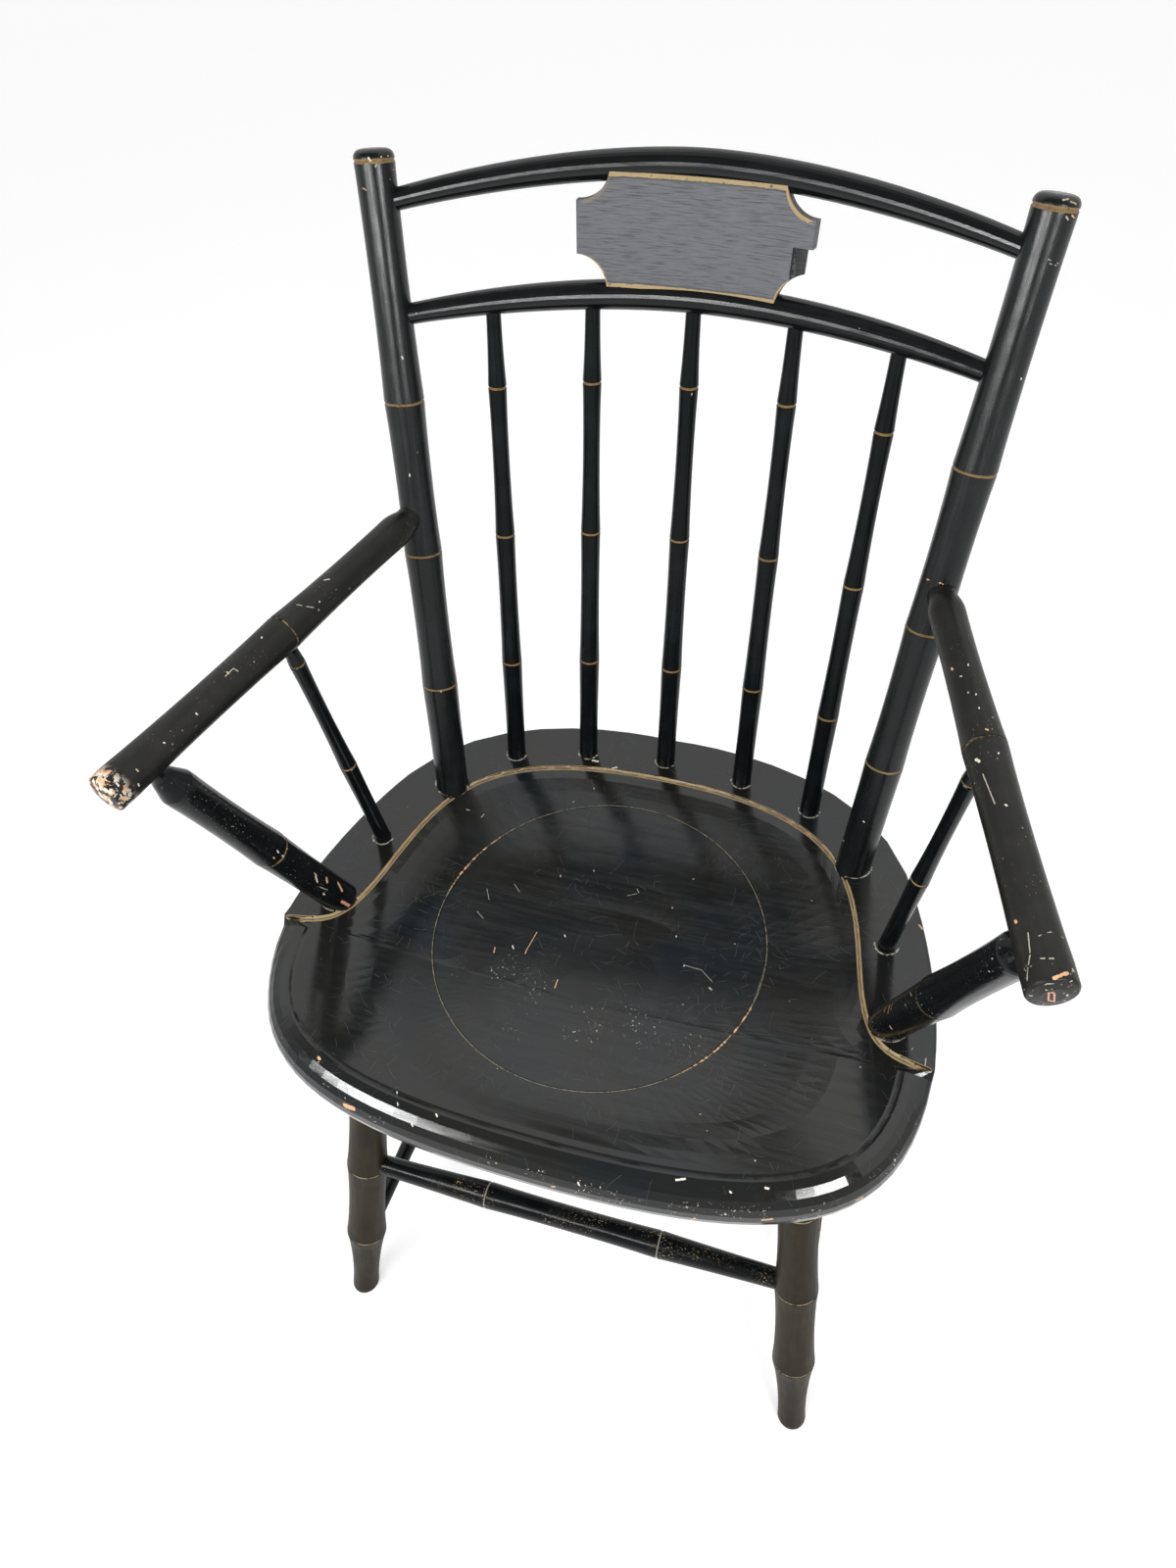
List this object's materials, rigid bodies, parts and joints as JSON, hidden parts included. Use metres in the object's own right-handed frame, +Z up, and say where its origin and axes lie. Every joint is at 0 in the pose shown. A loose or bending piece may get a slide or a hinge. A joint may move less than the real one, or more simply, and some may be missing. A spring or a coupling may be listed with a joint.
{
  "type": "windsor armchair",
  "caption": "Bamboo-turned wooden armchair: shaped plank seat, spindle back under bent rails with a tablet, turned arms, splayed legs and box stretchers.",
  "frame": {"origin": "on the floor, at the middle of the chair's plan", "axes": "+Z up, front towards -Y, +X to the right in a front view with the seat's front nearest"},
  "size_m": [0.549, 0.4688, 0.8385],
  "materials": {
    "black_paint": "worn gloss black paint",
    "disc_paint": "worn gloss black paint",
    "tablet_paint": "rubbed grey-black paint with ochre lines",
    "arm_paint": "satin brown-black paint, chipped at the ends",
    "leg_paint": "matt worn brown-grey paint"
  },
  "bodies": {
    "root": {"seat": "black_paint", "seat_disc": "disc_paint", "stile_left": "black_paint", "stile_right": "black_paint", "top_rail": "black_paint", "middle_rail": "black_paint", "tablet": "tablet_paint", "spindle_1": "black_paint", "spindle_2": "black_paint", "spindle_3": "black_paint", "spindle_4": "black_paint", "spindle_5": "black_paint", "arm_left": "arm_paint", "arm_right": "arm_paint", "arm_post_left": "black_paint", "arm_post_right": "black_paint", "arm_spindle_left": "black_paint", "arm_spindle_right": "black_paint", "leg_front_left": "leg_paint", "leg_front_right": "leg_paint", "leg_rear_left": "leg_paint", "leg_rear_right": "leg_paint", "stretcher_front": "black_paint", "stretcher_rear": "black_paint", "stretcher_left": "black_paint", "stretcher_right": "black_paint"}
  },
  "joints": []
}
